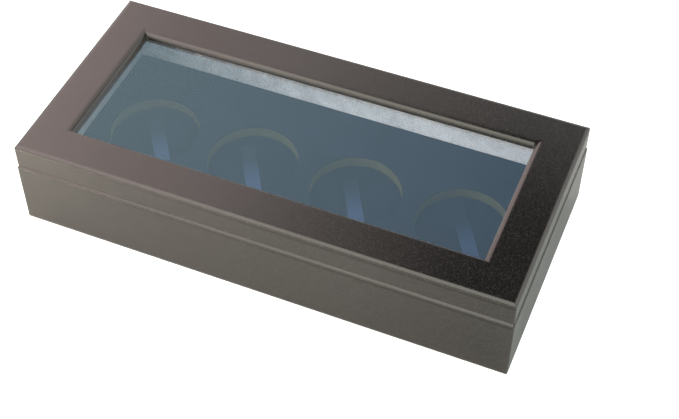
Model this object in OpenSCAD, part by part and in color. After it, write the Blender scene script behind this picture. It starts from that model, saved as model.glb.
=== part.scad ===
// Coin display box: a low wooden case with a glazed, hinged lid over a padded tray with four round wells.
// Base and lid are mitred frames of lacquered wood. The lid turns on two small butt hinges let into the
// rear wall, and the bevelled rear edges of base and lid meet to stop it just past upright.
// Origin: middle of the underside. X runs along the box, the front faces -Y, Z is up. Millimetres.

/* [Box] */
// Outside width, left to right
box_w = 228.6; // [222:0.1:300]
// Outside depth, front to back
box_d = 107.95; // [90:0.05:140]
// Outside height with the lid closed
box_h = 47.75; // [44:0.05:60]
// Height of the lid alone
lid_h = 11.95; // [11:0.05:15]
// Gap at the seam between the closed lid and the base
seam_gap = 0.2; // [0.1:0.05:0.4]
// How far the lid stands back from the faces of the base
lid_inset = 0.4; // [0.1:0.05:0.8]
// Thickness of the wooden walls
wall_t = 8.5; // [7.8:0.1:10]

/* [Edges] */
// Radius along the outer top edge of the lid
top_round = 2.4; // [0.5:0.1:4]
// Radius along the outer bottom edge of the base
bottom_round = 3.5; // [0.5:0.1:4.4]
// Radius along the outer edge of the base at the seam
seam_round = 2; // [0.3:0.1:3]
// Radius along the lower outer edge of the lid
arris_round = 0.3; // [0.1:0.1:1]
// Radius of the four upright corners
corner_round = 0.8; // [0.2:0.1:2]

/* [Window] */
// Width of the lid frame, from its outer face to the bare glass
rail_w = 19.6; // [17:0.1:26]
// Thickness of the frame where it laps over the glass
flange_t = 3.8; // [3:0.1:4.4]
// Slope of the frame's inner edge, where it comes down to the glass
sight_slope = 65; // [55:1:80]
// Radius where that slope meets the top of the frame
sight_round = 2; // [0.5:0.1:3]
// Thickness of the glass pane
glass_t = 2; // [1.6:0.1:2.6]
// Gap between the edge of the pane and the lid walls
glass_clear = 1; // [0.5:0.1:2]
// Width of the strips that hold the pane from below
retainer_w = 6.5; // [5:0.1:8]
// Thickness of those strips
retainer_t = 3; // [2:0.1:3.4]
// Radius along the lower inner edge of those strips
retainer_round = 1; // [0.3:0.1:1.5]

/* [Base] */
// Thickness of the bottom panel
panel_t = 3; // [2:0.1:4]
// Depth of the rebate in the walls that takes the panel
rebate_d = 3; // [2:0.1:4]
// Gap round the panel in its rebate
panel_clear = 0.1; // [0.05:0.05:0.4]
// Thickness of the felt under the panel
felt_t = 1; // [0.5:0.1:2]
// Gap round the felt
felt_clear = 0.4; // [0.1:0.1:1]
// Thickness of the fabric-covered card that lines the walls
lining_t = 0.95; // [0.6:0.05:1.5]
// How far the lining stops below the top of the base walls
lining_drop = 0.5; // [0.2:0.1:2]

/* [Tray] */
// Diameter of a well
well_d = 41.5; // [39:0.1:42.5]
// Distance from the end of the tray to the nearest well
well_margin = 8.8; // [4:0.1:12]
// Thickness of the tray board that the wells are cut in
board_t = 5.5; // [4:0.1:7]
// Thickness of the board under the wells
floor_t = 2; // [1.5:0.1:3]
// Thickness of the velvet on both boards
velvet_t = 0.5; // [0.3:0.1:1]
// Height of the foam block under the boards
foam_h = 10.1; // [7:0.1:13]
// Gap between the tray and the lining all round
tray_clear = 0.3; // [0.1:0.05:0.6]

/* [Ribbons] */
// Width of a lift ribbon
ribbon_w = 6.6; // [5:0.1:8]
// Thickness of a lift ribbon
ribbon_t = 0.4; // [0.3:0.05:0.8]
// Distance from the middle of a well to the slot that holds its ribbon
slot_reach = 15.5; // [12:0.1:16]
// Gap round a ribbon in its slot
slot_clear = 0.2; // [0.1:0.05:0.4]

/* [Hinges] */
// Width of a hinge along its pin
hinge_w = 22; // [18:0.5:28]
// Distance from the end of the box to the middle of a hinge
hinge_end = 45; // [35:1:70]
// Reach of a leaf from the pin
leaf_w = 6; // [5.5:0.1:6.2]
// Thickness of a leaf
leaf_t = 0.8; // [0.6:0.05:1]
// Diameter of the knuckles
knuckle_d = 3.6; // [3.2:0.1:3.8]
// Gap between neighbouring knuckles, and between a knuckle and what turns round it
knuckle_gap = 0.15; // [0.1:0.05:0.25]
// Diameter of the hinge pin
pin_d = 1.6; // [1.2:0.1:1.8]
// Gap between pin and knuckle, all round
pin_clear = 0.04; // [0.02:0.01:0.08]
// How far the knuckles stay inside the rear face of the base
hinge_inset = 0.15; // [0.05:0.05:0.5]
// Slope of the two bevels that stop the lid, below and above level
bevel_angle = 50; // [48:1:55]

/* [Screws] */
// Diameter of a screw head
head_d = 2.8; // [2.4:0.1:2.9]
// Diameter of a screw shank
shank_d = 1.5; // [1.2:0.1:1.7]
// Length of a screw with its point
screw_l = 6; // [4.5:0.1:7]
// Length of the point
screw_point = 1; // [0.5:0.1:1.5]
// Width of the slot in a screw head
drive_w = 0.4; // [0.3:0.05:0.5]
// Depth of the slot in a screw head
drive_depth = 0.3; // [0.2:0.05:0.4]
// Gap round a screw in its leaf and in the wood
screw_clear = 0.05; // [0.02:0.01:0.1]

/* [Hidden] */
$fn = 96;

// What every cut runs past the surface that it opens
overrun = 1;

// Heights of the base, counted from the underside
base_h = box_h - lid_h - seam_gap;
panel_z = felt_t;
foam_z = panel_z + panel_t;
floor_z = foam_z + foam_h;
well_z = floor_z + floor_t + velvet_t;
tray_z = well_z + board_t;
lining_top = base_h - lining_drop;

// Heights of the lid
lid_z = box_h - lid_h;
glass_z = box_h - flange_t - glass_t;

// Inside sizes between the wooden walls, and the outline of the tray
inner_w = box_w - 2 * wall_t;
inner_d = box_d - 2 * wall_t;
tray_w = inner_w - 2 * (lining_t + tray_clear);
tray_d = inner_d - 2 * (lining_t + tray_clear);

// Places of the four wells along the box
WELLS = 4;
well_pitch = (tray_w - 2 * well_margin - well_d) / (WELLS - 1);
well_x = [for (i = [0:WELLS - 1]) (i - (WELLS - 1) / 2) * well_pitch];

// How each ribbon lies: its lean from the depth of the box, its middle line's distance from the middle
// of the well, and how far its free end lies from there
ribbon_lean = [35, 31, 29, 31];
ribbon_side = [1.3, -1.1, -0.9, 1.4];
ribbon_reach = [11, 14, 11, 18.8];

// The longest reach that keeps both corners of a ribbon's free end inside its well
function reach_limit(i) =
    sqrt(pow(well_d / 2 - slot_clear, 2) - pow(abs(ribbon_side[i]) + ribbon_w / 2, 2));

// Hinge line, knuckles and screws
knuckle_r = knuckle_d / 2;
pocket_r = knuckle_r + knuckle_gap;
pin_y = box_d / 2 - knuckle_r - hinge_inset;
pin_z = base_h + seam_gap / 2;
hinge_x = box_w / 2 - hinge_end;
KNUCKLES = 5;
knuckle_l = (hinge_w - (KNUCKLES - 1) * knuckle_gap) / KNUCKLES;
BASE_KNUCKLES = [0, 2, 4];
LID_KNUCKLES = [1, 3];
leaf_plate = leaf_w - pocket_r;
screw_y = -leaf_w + leaf_plate / 2;
screw_place_shares = [-0.34, 0, 0.34];
cone_l = (head_d - shank_d) / 2;

lacquer = [0.39, 0.36, 0.34];
lining_grey = [0.64, 0.68, 0.73];
navy = [0.07, 0.10, 0.17];
tan_board = [0.66, 0.56, 0.40];
satin_blue = [0.55, 0.68, 0.87];
brass = [0.80, 0.66, 0.38];
steel = [0.72, 0.72, 0.70];
pane_tint = [0.78, 0.86, 0.90, 0.35];
felt_black = [0.10, 0.10, 0.11];
foam_grey = [0.45, 0.46, 0.48];

// Outline and frame helpers

// What a round of radius r takes off a corner at the origin whose material lies in +X, +Y.
module corner_waste(r) {
    difference() {
        translate([-overrun, -overrun]) square(r + overrun);
        translate([r, r]) circle(r = r);
    }
}

// Puts children drawn for the front side on the side at that turn: 0 front, 90 right, 180 rear, 270 left.
// There X runs along the side, Y goes inward from the outer face and Z is up.
module on_side(turn) {
    reach = turn % 180 == 0 ? box_d / 2 : box_w / 2;
    rotate([0, 0, turn]) translate([0, -reach, 0]) children();
}

function side_length(turn) = turn % 180 == 0 ? box_w : box_d;

// Runs a section, drawn inward and up, along a side and mitres both ends. The section starts at the
// given inset from the outer face and is that deep.
module mitred_bar(turn, inset, depth, height) {
    half = side_length(turn) / 2 - inset;
    intersection() {
        rotate([90, 0, 90]) linear_extrude(2 * half, center = true) children();
        translate([0, 0, -overrun]) linear_extrude(height + 2 * overrun)
            polygon([[-half, inset], [half, inset],
                     [half - depth, inset + depth], [-half + depth, inset + depth]]);
    }
}

// The waste of the upright rounds at both ends of a side, on a face at that inset.
module upright_waste(turn, inset) {
    for (end = [0, 1])
        mirror([end, 0, 0]) translate([inset - side_length(turn) / 2, inset, -overrun])
            linear_extrude(box_h + 2 * overrun) corner_waste(corner_round);
}

// Hinge helpers, drawn round the pin line: X along the pin, Y to the rear, Z up

module at_hinge(side) {
    translate([side * hinge_x, pin_y, pin_z]) children();
}

// The wedge between level and the stop bevel, the whole length of the box, below or above the pin.
module stop_bevel(up) {
    run = knuckle_r + hinge_inset + overrun;
    translate([0, pin_y, pin_z]) rotate([90, 0, 90])
        linear_extrude(box_w + 2 * overrun, center = true)
            polygon([[0, 0], [run, up * run * tan(bevel_angle)], [run, -up * overrun], [0, -up * overrun]]);
}

// Seat of one leaf and its knuckles in the wood, below or above the pin.
module leaf_seat(up) {
    length = hinge_w + 2 * knuckle_gap;
    rotate([0, 90, 0]) cylinder(r = pocket_r, h = length, center = true);
    top = seam_gap / 2 + leaf_t;
    translate([-length / 2, -leaf_w - knuckle_gap, up > 0 ? -overrun : -top])
        cube([length, leaf_w + knuckle_gap, top + overrun]);
    for (share = screw_place_shares)
        translate([share * hinge_w, screw_y, up * seam_gap / 2]) mirror([0, 0, up > 0 ? 0 : 1])
            cylinder(d = shank_d + 2 * screw_clear, h = screw_l + screw_clear);
}

// One leaf with its own knuckles, bored for the pin and countersunk for three screws.
module leaf(up, own) {
    low = up > 0 ? seam_gap / 2 : -seam_gap / 2 - leaf_t;
    difference() {
        union() {
            translate([-hinge_w / 2, -leaf_w, low]) cube([hinge_w, leaf_plate, leaf_t]);
            for (i = own) translate([-hinge_w / 2 + i * (knuckle_l + knuckle_gap), 0, 0]) {
                rotate([0, 90, 0]) cylinder(d = knuckle_d, h = knuckle_l);
                translate([0, -leaf_w, low]) cube([knuckle_l, leaf_w, leaf_t]);
            }
        }
        rotate([0, 90, 0]) cylinder(d = pin_d + 2 * pin_clear, h = hinge_w + 2 * overrun, center = true);
        for (share = screw_place_shares)
            translate([share * hinge_w, screw_y, up * seam_gap / 2]) mirror([0, 0, up > 0 ? 0 : 1]) {
                translate([0, 0, -overrun])
                    cylinder(d = shank_d + 2 * screw_clear, h = leaf_t + 2 * overrun);
                cylinder(d1 = head_d + 2 * screw_clear, d2 = shank_d + 2 * screw_clear, h = cone_l);
            }
    }
}

// One countersunk screw, its head at the origin and its point up.
module wood_screw() {
    difference() {
        union() {
            cylinder(d1 = head_d, d2 = shank_d, h = cone_l);
            cylinder(d = shank_d, h = screw_l - screw_point);
            translate([0, 0, screw_l - screw_point]) cylinder(d1 = shank_d, d2 = 0, h = screw_point);
        }
        translate([-head_d, -drive_w / 2, -overrun]) cube([2 * head_d, drive_w, overrun + drive_depth]);
    }
}

module hinge_screws(up) {
    for (side = [-1, 1]) at_hinge(side)
        for (share = screw_place_shares)
            translate([share * hinge_w, screw_y, up * seam_gap / 2]) mirror([0, 0, up > 0 ? 0 : 1])
                wood_screw();
}

module hinge_pin() {
    rotate([0, 90, 0]) cylinder(d = pin_d, h = hinge_w, center = true);
}

// Base

// One wall: rounded outer edges, and the rebate for the bottom panel along its lower inner edge.
module base_wall(turn) {
    difference() {
        on_side(turn) difference() {
            mitred_bar(turn, 0, wall_t, base_h) difference() {
                square([wall_t, base_h]);
                corner_waste(bottom_round);
                translate([0, base_h]) mirror([0, 1]) corner_waste(seam_round);
                translate([wall_t - rebate_d, -overrun]) square([rebate_d + overrun, foam_z + overrun]);
            }
            upright_waste(turn, 0);
        }
        stop_bevel(-1);
    }
}

module base_front_wall() { color(lacquer) base_wall(0); }

module base_rear_wall() {
    color(lacquer) difference() {
        base_wall(180);
        for (side = [-1, 1]) at_hinge(side) leaf_seat(-1);
    }
}

module base_left_wall() { color(lacquer) base_wall(270); }

module base_right_wall() { color(lacquer) base_wall(90); }

module plate(w, d, z, t) {
    translate([-w / 2, -d / 2, z]) cube([w, d, t]);
}

module base_bottom_panel() {
    reach = 2 * (rebate_d - panel_clear);
    color(lacquer) plate(inner_w + reach, inner_d + reach, panel_z, panel_t);
}

module bottom_felt() {
    reach = 2 * (rebate_d - felt_clear);
    color(felt_black) plate(inner_w + reach, inner_d + reach, 0, felt_t);
}

// Lining card on one wall. Those at the ends stand between the front and the rear one.
module lining(turn) {
    length = turn % 180 == 0 ? inner_w : inner_d - 2 * lining_t;
    color(lining_grey) on_side(turn)
        translate([-length / 2, wall_t, foam_z]) cube([length, lining_t, lining_top - foam_z]);
}

module lining_front() { lining(0); }

module lining_rear() { lining(180); }

module lining_left() { lining(270); }

module lining_right() { lining(90); }

// Tray, from the bottom panel up

module foam_filler() { color(foam_grey) plate(tray_w, tray_d, foam_z, foam_h); }

// Draws children along ribbon i: X from the slot to the free end, Y across, from the middle of its well.
module along_ribbon(i) {
    translate([well_x[i], 0, 0]) rotate([0, 0, 90 + ribbon_lean[i]]) translate([0, -ribbon_side[i], 0])
        children();
}

module ribbon_slots(z, t) {
    for (i = [0:WELLS - 1]) along_ribbon(i)
        translate([-slot_reach - slot_clear, -ribbon_w / 2 - slot_clear, z - overrun])
            cube([ribbon_t + 2 * slot_clear, ribbon_w + 2 * slot_clear, t + 2 * overrun]);
}

module floor_board() {
    color(tan_board) difference() {
        plate(tray_w, tray_d, floor_z, floor_t);
        ribbon_slots(floor_z, floor_t);
    }
}

module floor_velvet() {
    color(navy) difference() {
        plate(tray_w, tray_d, well_z - velvet_t, velvet_t);
        ribbon_slots(well_z - velvet_t, velvet_t);
    }
}

module well_cuts(z, t) {
    for (x = well_x) translate([x, 0, z - overrun]) cylinder(d = well_d, h = t + 2 * overrun);
}

module tray_board() {
    color(tan_board) difference() {
        plate(tray_w, tray_d, well_z, board_t);
        well_cuts(well_z, board_t);
    }
}

module tray_velvet() {
    color(navy) difference() {
        plate(tray_w, tray_d, tray_z, velvet_t);
        well_cuts(tray_z, velvet_t);
    }
}

// A ribbon comes up through its slot, bends over and lies across the floor of the well.
module lift_ribbon(i) {
    tail = floor_t + velvet_t;
    color(satin_blue) along_ribbon(i)
        translate([-slot_reach, ribbon_w / 2, well_z]) rotate([90, 0, 0])
            linear_extrude(ribbon_w) difference() {
                union() {
                    translate([0, -tail]) square([ribbon_t, tail]);
                    square([slot_reach + min(ribbon_reach[i], reach_limit(i)), ribbon_t]);
                }
                translate([0, ribbon_t]) mirror([0, 1]) corner_waste(ribbon_t);
            }
}

module lift_ribbon_1() { lift_ribbon(0); }

module lift_ribbon_2() { lift_ribbon(1); }

module lift_ribbon_3() { lift_ribbon(2); }

module lift_ribbon_4() { lift_ribbon(3); }

// Hinges

module hinge_left_base_leaf() { color(brass) at_hinge(-1) leaf(-1, BASE_KNUCKLES); }

module hinge_right_base_leaf() { color(brass) at_hinge(1) leaf(-1, BASE_KNUCKLES); }

module hinge_left_pin() { color(steel) at_hinge(-1) hinge_pin(); }

module hinge_right_pin() { color(steel) at_hinge(1) hinge_pin(); }

module hinge_screws_base() { color(brass) hinge_screws(-1); }

module hinge_left_lid_leaf() { color(brass) at_hinge(-1) leaf(1, LID_KNUCKLES); }

module hinge_right_lid_leaf() { color(brass) at_hinge(1) leaf(1, LID_KNUCKLES); }

module hinge_screws_lid() { color(brass) hinge_screws(1); }

// Lid

// What the sloping, rounded inner edge takes off the flange. The foot of the slope is the origin.
module sight_waste() {
    run = flange_t / tan(sight_slope);
    centre = [-run - sight_round * tan(sight_slope / 2), flange_t - sight_round];
    reach = sight_round + overrun;
    polygon([[overrun / tan(sight_slope), -overrun],
             [-(flange_t + overrun) / tan(sight_slope), flange_t + overrun],
             [overrun, flange_t + overrun], [overrun, -overrun]]);
    difference() {
        polygon([centre, centre + [0, reach], centre + reach * [sin(sight_slope), cos(sight_slope)]]);
        translate(centre) circle(r = sight_round);
    }
}

// One frame member: an outer wall and a flange that laps over the glass and slopes down to it.
module lid_member(turn) {
    difference() {
        on_side(turn) difference() {
            translate([0, 0, lid_z]) mitred_bar(turn, lid_inset, rail_w, lid_h) translate([lid_inset, 0])
                difference() {
                    union() {
                        square([wall_t - lid_inset, lid_h]);
                        translate([0, lid_h - flange_t]) square([rail_w, flange_t]);
                    }
                    corner_waste(arris_round);
                    translate([0, lid_h]) mirror([0, 1]) corner_waste(top_round);
                    translate([rail_w, lid_h - flange_t]) sight_waste();
                }
            upright_waste(turn, lid_inset);
        }
        stop_bevel(1);
    }
}

module lid_front_rail() { color(lacquer) lid_member(0); }

module lid_rear_rail() {
    color(lacquer) difference() {
        lid_member(180);
        for (side = [-1, 1]) at_hinge(side) leaf_seat(1);
    }
}

module lid_left_stile() { color(lacquer) lid_member(270); }

module lid_right_stile() { color(lacquer) lid_member(90); }

module glass_pane() {
    color(pane_tint) plate(inner_w - 2 * glass_clear, inner_d - 2 * glass_clear, glass_z, glass_t);
}

// One strip under the glass, mitred like the frame, with its lower inner edge rounded.
module glass_retainer(turn) {
    color(lacquer) on_side(turn) translate([0, 0, glass_z - retainer_t])
        mitred_bar(turn, wall_t, retainer_w, retainer_t) difference() {
            translate([wall_t, 0]) square([retainer_w, retainer_t]);
            translate([wall_t + retainer_w, 0]) mirror([1, 0]) corner_waste(retainer_round);
        }
}

module glass_retainer_front() { glass_retainer(0); }

module glass_retainer_rear() { glass_retainer(180); }

module glass_retainer_left() { glass_retainer(270); }

module glass_retainer_right() { glass_retainer(90); }

base_front_wall();
base_rear_wall();
base_left_wall();
base_right_wall();
base_bottom_panel();
bottom_felt();
lining_front();
lining_rear();
lining_left();
lining_right();
foam_filler();
floor_board();
floor_velvet();
tray_board();
tray_velvet();
lift_ribbon_1();
lift_ribbon_2();
lift_ribbon_3();
lift_ribbon_4();
hinge_left_base_leaf();
hinge_right_base_leaf();
hinge_left_pin();
hinge_right_pin();
hinge_screws_base();
lid_front_rail();
lid_rear_rail();
lid_left_stile();
lid_right_stile();
glass_pane();
glass_retainer_front();
glass_retainer_rear();
glass_retainer_left();
glass_retainer_right();
hinge_left_lid_leaf();
hinge_right_lid_leaf();
hinge_screws_lid();
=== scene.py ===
"""Coin display box: finishes, soft pieces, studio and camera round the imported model.

The wooden case, the lid frame, the pane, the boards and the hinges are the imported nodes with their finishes.
Velvet, lining, ribbons, felt and foam are modelled here and stand for the plain solids.
"""

import logging
import math
from dataclasses import dataclass
from enum import Enum
from functools import partialmethod
from typing import Callable, Iterable, Optional

import bpy
from mathutils import Matrix, Vector


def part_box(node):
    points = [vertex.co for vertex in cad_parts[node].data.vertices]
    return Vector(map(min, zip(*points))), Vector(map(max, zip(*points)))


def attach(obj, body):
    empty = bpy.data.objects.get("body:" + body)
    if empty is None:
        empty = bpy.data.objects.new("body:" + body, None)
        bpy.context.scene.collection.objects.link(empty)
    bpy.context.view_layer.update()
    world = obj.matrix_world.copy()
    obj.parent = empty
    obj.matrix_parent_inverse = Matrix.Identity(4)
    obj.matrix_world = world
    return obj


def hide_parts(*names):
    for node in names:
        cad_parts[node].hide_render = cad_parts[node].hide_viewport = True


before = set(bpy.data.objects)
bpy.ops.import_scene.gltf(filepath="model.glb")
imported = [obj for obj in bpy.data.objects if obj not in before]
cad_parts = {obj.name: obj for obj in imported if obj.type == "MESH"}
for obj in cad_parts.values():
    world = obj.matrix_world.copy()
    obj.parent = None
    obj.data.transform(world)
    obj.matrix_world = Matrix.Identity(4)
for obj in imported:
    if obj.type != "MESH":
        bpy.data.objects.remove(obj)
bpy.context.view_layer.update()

log = logging.getLogger("coin_display_box")

MM = 0.001
# Two places nearer than this count as one
LEVEL = 1e-6
# The body that every soft piece rides
BASE = "base"
# The sides of the box, as the nodes' names have them
SIDES = ("front", "rear", "left", "right")

Triple = tuple[float, float, float]
Colour = Triple
# Between low and high, a value goes from start to end: (low, high, start, end)
Ramp = tuple[float, float, float, float]
# (blotches per metre, octaves, how much the fine octaves count)
Noise = tuple[float, float, float]
Socket = bpy.types.NodeSocket
Trio = tuple[Socket, Socket, Socket]
Thing = bpy.types.Object
EdgeTest = Callable[[Vector, Vector], bool]

BLACK: Colour = (0.0, 0.0, 0.0)
WHITE: Colour = (1.0, 1.0, 1.0)


def srgb(*channels: int) -> Colour:
    """Turns a screen colour into the linear one that shaders take.

    Args:
        *channels: Red, green and blue from 0 to 255.

    Returns:
        The same colour in linear light.
    """
    shares = (channel / 255 for channel in channels)
    return tuple(share / 12.92 if share <= 0.04045 else ((share + 0.055) / 1.055) ** 2.4 for share in shares)


class Slot(Enum):
    """Material slot names for the new pieces; nothing in the script reads them."""

    LINING = "lining_fabric"
    VELVET = "velvet"
    RIBBON = "ribbon"
    FELT = "felt"
    FOAM = "foam"


class Wiring:
    """Adds and joins the shader nodes of one material or world."""

    def __init__(self, tree: bpy.types.NodeTree) -> None:
        """Starts on an emptied tree.

        Args:
            tree: The nodes of the material or world.
        """
        self.tree = tree
        tree.nodes.clear()

    def feed(self, target: Socket, value: object) -> None:
        """Links an output to an input, or sets the input to a plain value.

        Args:
            target: The input.
            value: An output, a number or a triple.
        """
        if isinstance(value, bpy.types.NodeSocket):
            self.tree.links.new(value, target)
        else:
            target.default_value = (*value, 1.0) if target.type == "RGBA" else value

    def add(self, kind: str, inputs: Optional[dict[object, object]] = None, **settings: object) -> bpy.types.Node:
        """Adds one node.

        Args:
            kind: The node's Blender type, without its ShaderNode.
            inputs: What feeds its inputs, by their names or numbers. None feeds nothing.
            **settings: Its own properties.

        Returns:
            The new node.
        """
        node = self.tree.nodes.new(f"ShaderNode{kind}")
        for name, value in settings.items():
            setattr(node, name, value)
        for key, value in (inputs or {}).items():
            if value is not None:
                self.feed(node.inputs[key], value)
        return node

    def place(self, stretch: Triple = (1.0, 1.0, 1.0)) -> Socket:
        """Object coordinates, stretched.

        Args:
            stretch: Scale along each axis.

        Returns:
            The coordinates.
        """
        where = self.add("TexCoord").outputs["Object"]
        return self.add("Mapping", {"Vector": where, "Scale": stretch}).outputs["Vector"]

    def axes(self, where: Socket) -> Trio:
        """Splits a place, a direction or a colour.

        Args:
            where: The place, direction or colour.

        Returns:
            Its three parts.
        """
        first, second, third = self.add("SeparateXYZ", {0: where}).outputs
        return first, second, third

    def noise(self, where: Socket, pattern: Noise) -> Socket:
        """Soft noise.

        Args:
            where: Coordinates.
            pattern: Its scale, detail and roughness.

        Returns:
            The noise, about 0 to 1.
        """
        scale, detail, rough = pattern
        inputs = {"Vector": where, "Scale": scale, "Detail": detail, "Roughness": rough}
        return self.add("TexNoise", inputs).outputs["Fac"]

    def cells(self, where: Socket, scale: float, output: str = "Color") -> Socket:
        """Small cells, such as flakes or pores.

        Args:
            where: Coordinates.
            scale: Cells per metre.
            output: Which output of the Voronoi texture.

        Returns:
            That output.
        """
        return self.add("TexVoronoi", {"Vector": where, "Scale": scale}).outputs[output]

    def ramp(self, value: Socket, course: Ramp) -> Socket:
        """Carries a value from one range to another, held at both ends.

        Args:
            value: What comes in.
            course: The incoming range, and what its two ends become.

        Returns:
            The new value.
        """
        low, high, start, end = course
        inputs = {"Value": value, "From Min": low, "From Max": high, "To Min": start, "To Max": end}
        return self.add("MapRange", inputs).outputs["Result"]

    def steps(self, kind: str, operation: str, first: object, *others: object) -> Socket:
        """Arithmetic on one value, or on a row of values from left to right.

        Args:
            kind: The node's Blender type, without its ShaderNode.
            operation: The step.
            first: The first value.
            *others: The values that follow.

        Returns:
            The result.
        """
        for other in others or (None,):
            first = self.add(kind, {0: first, 1: other}, operation=operation).outputs[0]
        return first

    vector = partialmethod(steps, "VectorMath")
    maths = partialmethod(steps, "Math")
    size = partialmethod(maths, "ABSOLUTE")
    total = partialmethod(maths, "ADD")
    product = partialmethod(maths, "MULTIPLY")
    # What a share leaves of 1
    rest = partialmethod(maths, "SUBTRACT", 1.0)
    # 1 above or below a limit, and 0 elsewhere
    above = partialmethod(maths, "GREATER_THAN")
    below = partialmethod(maths, "LESS_THAN")

    def slide(self, share: Socket, first: Socket, second: Socket) -> Socket:
        """Goes from one value to another.

        Args:
            share: How far, 0 to 1.
            first: The value at 0.
            second: The value at 1.

        Returns:
            The value at the share.
        """
        return self.total(first, self.product(share, self.maths("SUBTRACT", second, first)))

    def blend(self, share: Socket, first: object, second: object) -> Socket:
        """Mixes two colours.

        Args:
            share: How much of the second.
            first: First colour or socket.
            second: Second colour or socket.

        Returns:
            The mixed colour.
        """
        return self.add("Mix", {0: share, 6: first, 7: second}, data_type="RGBA").outputs[2]

    def bump(self, height: Socket, depth: float, under: Optional[Socket] = None) -> Socket:
        """Turns a height into a normal.

        Args:
            height: The height, 0 to 1.
            depth: What 1 stands for, in metres.
            under: A normal that this one adds to.

        Returns:
            The normal.
        """
        return self.add("Bump", {"Distance": depth, "Height": height, "Normal": under}).outputs["Normal"]

    def seen(self) -> Socket:
        """Tells what the eye meets from what only lights or mirrors.

        Returns:
            1 for rays from the camera, straight or through the glass, and 0 for others.
        """
        path = self.add("LightPath").outputs
        return self.maths("MAXIMUM", path["Is Camera Ray"], path["Is Transmission Ray"])

    def either(self, share: Socket, first: Socket, second: Socket) -> Socket:
        """Mixes two shaders.

        Args:
            share: How much of the second.
            first: First shader.
            second: Second shader.

        Returns:
            The mixed shader.
        """
        return self.add("MixShader", {0: share, 1: first, 2: second}).outputs[0]

    def output(self, shader: Socket, kind: str = "Material") -> None:
        """Adds the output.

        Args:
            shader: What it shows.
            kind: Material or World.
        """
        self.add(f"Output{kind}", {"Surface": shader})

    def surface(self, **values: object) -> None:
        """Adds the Principled shader and the output.

        Args:
            **values: Input names, with underscores for spaces, and what feeds them.
        """
        inputs = {name.replace("_", " "): value for name, value in values.items()}
        self.output(self.add("BsdfPrincipled", inputs).outputs[0])


@dataclass(frozen=True)
class Finish:
    """What every finish has: a name, and a way to make its material."""

    name: str

    def wire(self, wiring: Wiring) -> None:
        """Wires the finish's nodes.

        Args:
            wiring: The material's wiring.
        """
        raise NotImplementedError

    def material(self) -> bpy.types.Material:
        """Makes the material, or gives the one that was made before.

        Returns:
            The material.
        """
        made = bpy.data.materials.get(self.name)
        if made is None:
            made = bpy.data.materials.new(self.name)
            made.use_nodes = True
            self.wire(Wiring(made.node_tree))
        return made


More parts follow.
